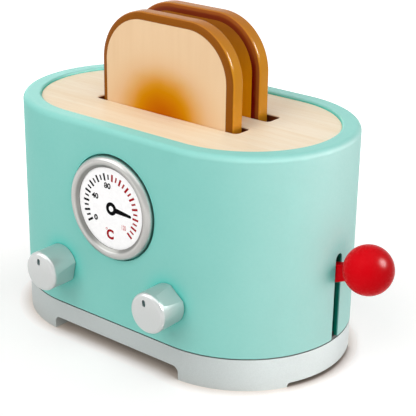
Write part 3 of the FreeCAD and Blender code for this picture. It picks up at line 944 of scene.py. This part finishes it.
# Painted shade and warm bounced light: the back slice stands in the front slice's shade, so its wood and
# crust get deeper colours than the front slice's
backToast = [
    makeToastWood(
        "toastBackWoodShaded",
        "toast_back",
        toastLook["backWoodShaded"],
        toastLook["backGrainShaded"],
        toastLook["backTop"],
        backSpray,
    ),
    makeCrust(
        "toastBackCrustShaded",
        toastLook["backCrustBandShaded"],
        toastLook["backCrustTopLit"],
        toastLook["backCrustEdgeShaded"],
    ),
]
frontBand, frontRidge = toastLook["frontBand"], toastLook["frontRidge"]
backBand, backRidge = toastLook["backBand"], toastLook["backRidge"]
makeToast("toast_front", "toastFrontSlice", "slice_front", frontBand, frontRidge, frontToast)
makeToast("toast_back", "toastBackSlice", "slice_back", backBand, backRidge, backToast)
print("Toast made")


# Red lever

leverLook = {
    "red": swatch(214, 6, 20),
    "deep": swatch(208, 4, 16),
    "cloudScale": 60.0,
    "peelScale": 500.0,
    "peelBump": (0.01 * mm, 0.25),
    "roughness": (0.24, 0.3),
    "shine": 0.04,
}


def makeLeverRed():
    material, tree, shader, coords = newFinish("leverRed")
    cloud = noise(tree, coords, leverLook["cloudScale"])
    peel = noise(tree, coords, leverLook["peelScale"])
    plug(tree, shader, {
        "Base Color": blendColour(tree, vary(tree, cloud), leverLook["red"], leverLook["deep"]),
        "Roughness": vary(tree, peel, *leverLook["roughness"]),
        "Specular IOR Level": leverLook["shine"],
    })
    addBump(tree, shader, peel, *leverLook["peelBump"])
    return material


leverRed = makeLeverRed()
dress("lever_arm", leverRed)
dress("lever_ball", leverRed)
print("Lever painted")


# What sits inside: dowels, washers, rods, springs and tray

insideLook = {
    "dowel": swatch(214, 180, 134),
    "dowelGrain": swatch(190, 150, 104),
    "dowelStretch": (300.0, 22.0, 300.0),
    "dowelBump": (0.04 * mm, 0.5),
    "dowelRoughness": (0.55, 0.7),
    "washer": swatch(62, 62, 64),
    "washerGrain": swatch(74, 74, 76),
    "washerRoughness": (0.45, 0.55),
    "tray": swatch(226, 220, 204),
    "trayGrain": swatch(216, 209, 192),
    "trayRoughness": (0.43, 0.53),
    "mouldedScale": 1100.0,
    "mouldedBump": (0.02 * mm, 0.4),
    "steel": swatch(166, 168, 170),
    "steelStretch": (900.0, 900.0, 40.0),
    "spring": swatch(150, 152, 156),
    "springStretch": (300.0, 300.0, 300.0),
    "brushShade": 0.8,
    "brushBump": (0.01 * mm, 0.4),
    "brushRoughness": (0.24, 0.36),
}


def makeDowel():
    material, tree, shader, coords = newFinish("dowelWood")
    streak = noise(tree, placed(tree, coords, stretch=insideLook["dowelStretch"]), detail=3.0)
    plug(tree, shader, {
        "Base Color": blendColour(tree, vary(tree, streak), insideLook["dowel"], insideLook["dowelGrain"]),
        "Roughness": vary(tree, streak, *insideLook["dowelRoughness"]),
    })
    addBump(tree, shader, streak, *insideLook["dowelBump"])
    return material


def makeMoulded(name, kind):
    material, tree, shader, coords = newFinish(name)
    grain = noise(tree, coords, insideLook["mouldedScale"])
    plug(tree, shader, {
        "Base Color": blendColour(tree, vary(tree, grain), insideLook[kind], insideLook[kind + "Grain"]),
        "Roughness": vary(tree, grain, *insideLook[kind + "Roughness"]),
    })
    addBump(tree, shader, grain, *insideLook["mouldedBump"])
    return material


def makeSteel(name, kind):
    material, tree, shader, coords = newFinish(name)
    brush = noise(tree, placed(tree, coords, stretch=insideLook[kind + "Stretch"]), detail=3.0)
    red, green, blue, solid = insideLook[kind]
    shade = insideLook["brushShade"]
    darker = (red * shade, green * shade, blue * shade, solid)
    plug(tree, shader, {
        "Base Color": blendColour(tree, vary(tree, brush), insideLook[kind], darker),
        "Metallic": 1.0,
        "Roughness": vary(tree, brush, *insideLook["brushRoughness"]),
    })
    addBump(tree, shader, brush, *insideLook["brushBump"])
    return material


dowelWood = makeDowel()
washerPlastic = makeMoulded("washerPlastic", "washer")
trayPlastic = makeMoulded("trayPlastic", "tray")
steelRod = makeSteel("steelRod", "steel")
springWire = makeSteel("springWire", "spring")
for nodeName in ("knob_axle_left", "knob_axle_right", "pivot_cheek_front", "pivot_cheek_back"):
    dress(nodeName, dowelWood)
for nodeName in ("knob_washer_left", "knob_washer_right", "stop_collar_left", "stop_collar_right"):
    dress(nodeName, washerPlastic)
for nodeName in ("guide_rod_left", "guide_rod_right", "drive_peg", "pivot_pin"):
    dress(nodeName, steelRod)
for nodeName in ("base_screws", "cheek_screws"):
    dress(nodeName, steelRod)
dress("toast_tray", trayPlastic)

springLook = {
    "radius": 4.0 * mm,
    "wire": 0.5 * mm,
    "wireShare": 0.96,
    "wireSides": 8,
    "turns": 7.0,
    "turnSteps": 24,
    "pressedShare": 0.649,
}


def makeSpringTree():
    tree, given, result = nodeGroup("returnSprings", {
        "Radius": "Float",
        "Wire": "Float",
        "Wire Sides": "Int",
        "Turns": "Float",
        "Turn Steps": "Int",
        "Height": "Float",
        "Left": "Vector",
        "Right": "Vector",
        "Wire Finish": "Material",
    })
    spiral = addNode(tree, "GeometryNodeCurveSpiral", {
        "Resolution": given["Turn Steps"],
        "Rotations": given["Turns"],
        "Start Radius": given["Radius"],
        "End Radius": given["Radius"],
        "Height": given["Height"],
    }).outputs[0]
    section = addNode(tree, "GeometryNodeCurvePrimitiveCircle", {
        "Resolution": given["Wire Sides"],
        "Radius": given["Wire"],
    }).outputs[0]
    coil = addNode(tree, "GeometryNodeCurveToMesh", {
        "Curve": spiral,
        "Profile Curve": section,
        "Fill Caps": True,
    }).outputs[0]
    places = addNode(
        tree,
        "GeometryNodeMeshLine",
        {"Count": 2, "Start Location": given["Left"], "Offset": given["Right"]},
        mode="END_POINTS",
    )
    pair = addNode(tree, "GeometryNodeInstanceOnPoints", {"Points": places.outputs[0], "Instance": coil})
    solid = addNode(tree, "GeometryNodeRealizeInstances", {"Geometry": pair.outputs[0]}).outputs[0]
    finished = addNode(
        tree,
        "GeometryNodeSetMaterial",
        {"Geometry": solid, "Material": given["Wire Finish"]},
    )
    tree.links.new(finished.outputs[0], result)
    return tree


def makeSprings():
    ends = []
    for side in ("left", "right"):
        low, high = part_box("return_spring_" + side)
        rodMiddle = middleOf("guide_rod_" + side)
        ends.append(Vector((rodMiddle.x, rodMiddle.y, low.z + springLook["wire"])))
        height = high.z - low.z - 2 * springLook["wire"]
    springs = meshFromTree("returnSprings", makeSpringTree(), {
        "Radius": springLook["radius"],
        "Wire": springLook["wire"] * springLook["wireShare"],
        "Wire Sides": springLook["wireSides"],
        "Turns": springLook["turns"],
        "Turn Steps": springLook["turnSteps"],
        "Height": height,
        "Left": ends[0],
        "Right": ends[1],
        "Wire Finish": springWire,
    })
    for polygon in springs.data.polygons:
        polygon.use_smooth = True
    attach(springs, "toaster")
    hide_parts("return_spring_left", "return_spring_right")
    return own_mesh(springs)


makeSprings()
print("Inner pieces finished")


# Floor, light and camera

floorLook = {
    "size": 6.0,
    "paper": swatch(240, 236, 235),
    "contactShadow": swatch(196, 182, 170),
    "contactReach": 14.0 * mm,
    "contactOpen": (0.4, 0.85),
    "liftMiddle": (-0.03, -0.08, 0),
    "liftReach": (0.1, 0.32),
    "liftNear": 0.18,
    "liftFar": 0.62,
}
white = (1, 1, 1, 1)


def paleRays(tree):
    # One for the camera, mirrors and glass, none for the light that falls on things
    path = tree.nodes.new("ShaderNodeLightPath")
    seen = combine(tree, "MAXIMUM", path.outputs["Is Camera Ray"], path.outputs["Is Glossy Ray"])
    return combine(tree, "MAXIMUM", seen, path.outputs["Is Transmission Ray"])


def makeFloor():
    half = floorLook["size"] / 2
    corners = [(-half, -half, 0), (half, -half, 0), (half, half, 0), (-half, half, 0)]
    material = bpy.data.materials.new("paperFloor")
    material.use_nodes = True
    tree = material.node_tree
    tree.nodes.clear()
    output = tree.nodes.new("ShaderNodeOutputMaterial")
    # Painted contact shadow: the paper darkens where the base stands on it
    occlusion = addNode(tree, "ShaderNodeAmbientOcclusion", {"Distance": floorLook["contactReach"]}, samples=16)
    openness = spread(tree, occlusion.outputs["AO"], *floorLook["contactOpen"])
    colour = blendColour(tree, openness, floorLook["contactShadow"], floorLook["paper"])
    paper = addNode(tree, "ShaderNodeBsdfDiffuse", {"Color": colour})
    # Painted light: the paper glows for the camera, mirrors and glass, more away from the toaster, so it
    # looks whiter there
    spot = tree.nodes.new("ShaderNodeTexCoord").outputs["Object"]
    reach = distanceFrom(tree, spot, floorLook["liftMiddle"])
    lifted = spread(tree, reach, *floorLook["liftReach"], floorLook["liftNear"], floorLook["liftFar"])
    share = combine(tree, "MULTIPLY", combine(tree, "MULTIPLY", paleRays(tree), lifted), openness)
    lift = addNode(tree, "ShaderNodeEmission", {"Color": white, "Strength": share})
    mixed = addNode(tree, "ShaderNodeAddShader", {0: paper.outputs[0], 1: lift.outputs[0]})
    tree.links.new(mixed.outputs[0], output.inputs["Surface"])
    floor = newPiece("studioFloor", corners, [(0, 1, 2, 3)], [material], smooth=False)


worldLook = {
    "ambient": 0.4,
    "backdrop": 1.0,
}


def makeWorld():
    world = bpy.data.worlds.new("studio")
    bpy.context.scene.world = world
    world.use_nodes = True
    tree = world.node_tree
    tree.nodes.clear()
    output = tree.nodes.new("ShaderNodeOutputWorld")
    dim = addNode(tree, "ShaderNodeBackground", {"Color": white, "Strength": worldLook["ambient"]})
    full = addNode(tree, "ShaderNodeBackground", {"Color": white, "Strength": worldLook["backdrop"]})
    mixed = addNode(tree, "ShaderNodeMixShader", {0: paleRays(tree), 1: dim.outputs[0], 2: full.outputs[0]})
    tree.links.new(mixed.outputs[0], output.inputs["Surface"])


makeFloor()
makeWorld()
silverPieces = bpy.data.collections.new("silverPieces")
paintPieces = bpy.data.collections.new("paintPieces")
otherPieces = bpy.data.collections.new("otherPieces")
allButBall = bpy.data.collections.new("allButBall")
for piece in bpy.context.scene.objects:
    if piece.type != "MESH":
        continue
    if piece.name in ("dial_bezel", "knob_left", "knob_right"):
        silverPieces.objects.link(piece)
    elif piece.name in ("body_shell", "base"):
        paintPieces.objects.link(piece)
    else:
        otherPieces.objects.link(piece)
    if piece.name != "lever_ball":
        allButBall.objects.link(piece)

# Where it comes from, its distance, size and watts, its kind, what it lights and what shades it.
# Soft lamps light the colours and shine lamps only make gloss. Where the ball shades nothing,
# the wall behind it stays light.
lampLook = {
    "fill": ((-0.18, -0.8, 0.60), 1.3, 1.0, 7.5, "soft", None, None),
    "side": ((0.95, -0.25, 0.5), 1.2, 1.2, 1.5, "soft", None, allButBall),
    "top": ((0.1, -0.15, 1.0), 1.0, 1.4, 4.2, "both", None, None),
    "key": ((0.78, 0.34, 0.52), 1.1, 0.5, 72.0, "shine", otherPieces, None),
    "low": ((0.75, 0.41, 0.18), 1.1, 0.6, 39.0, "shine", paintPieces, allButBall),
    "slant": ((0.7, -0.3, 0.1), 1.1, 0.9, 22.0, "shine", paintPieces, allButBall),
    "glow": ((-0.45, -0.1, 0.85), 1.1, 0.7, 5.0, "shine", paintPieces, None),
    "front": ((0.45, -0.65, 0.5), 1.1, 0.9, 18.0, "shine", paintPieces, None),
    "back": ((-0.8, 0.6, 0.1), 1.2, 1.1, 14.0, "shine", paintPieces, None),
    "spark": ((0.78, 0.34, 0.52), 1.1, 0.6, 9.0, "shine", silverPieces, None),
    "gleam": ((-0.5, -0.6, 0.5), 1.1, 0.8, 3.6, "shine", silverPieces, None),
}


def addLamp(name, direction, distance, size, power, kind, lit, shades):
    lamp = bpy.data.lights.new(name, "AREA")
    lamp.shape = "DISK"
    lamp.size = size
    lamp.energy = power
    holder = addObject(name, lamp)
    way = Vector(direction).normalized()
    holder.location = middleOf("body_shell") + way * distance
    holder.rotation_mode = "QUATERNION"
    holder.rotation_quaternion = way.to_track_quat("Z", "Y")
    holder.visible_diffuse = kind != "shine"
    holder.visible_glossy = kind != "soft"
    if lit:
        holder.light_linking.receiver_collection = lit
    if shades:
        holder.light_linking.blocker_collection = shades


for lampName, details in lampLook.items():
    addLamp(lampName + "Lamp", *details)

cameraLook = {
    "right": Vector((0.77934, 0.62660, 0.0)),
    "up": Vector((-0.23436, 0.29149, 0.92743)),
    "back": Vector((0.58113, -0.72278, 0.37402)),
    "rollDegrees": 0.855,
    "aim": Vector((-0.007284, 0.018187, 0.065586)),
    "distance": 0.6746,
    "lens": 104.6,
    "sensorWidth": 36.0,
    "nearest": 0.01,
    "farthest": 50.0,
}


def makeCamera():
    camera = bpy.data.cameras.new("studioCamera")
    camera.lens = cameraLook["lens"]
    camera.sensor_width = cameraLook["sensorWidth"]
    camera.clip_start = cameraLook["nearest"]
    camera.clip_end = cameraLook["farthest"]
    holder = addObject("studioCamera", camera)
    roll = math.radians(cameraLook["rollDegrees"])
    right, up, back = cameraLook["right"], cameraLook["up"], cameraLook["back"]
    across = right * math.cos(roll) + up * math.sin(roll)
    upward = up * math.cos(roll) - right * math.sin(roll)
    place = cameraLook["aim"] + back * cameraLook["distance"]
    holder.matrix_world = Matrix((
        (across.x, upward.x, back.x, place.x),
        (across.y, upward.y, back.y, place.y),
        (across.z, upward.z, back.z, place.z),
        (0, 0, 0, 1),
    ))
    bpy.context.scene.camera = holder


makeCamera()
bpy.context.scene.view_settings.view_transform = "Standard"
print("Studio set")

bpy.context.view_layer.update()
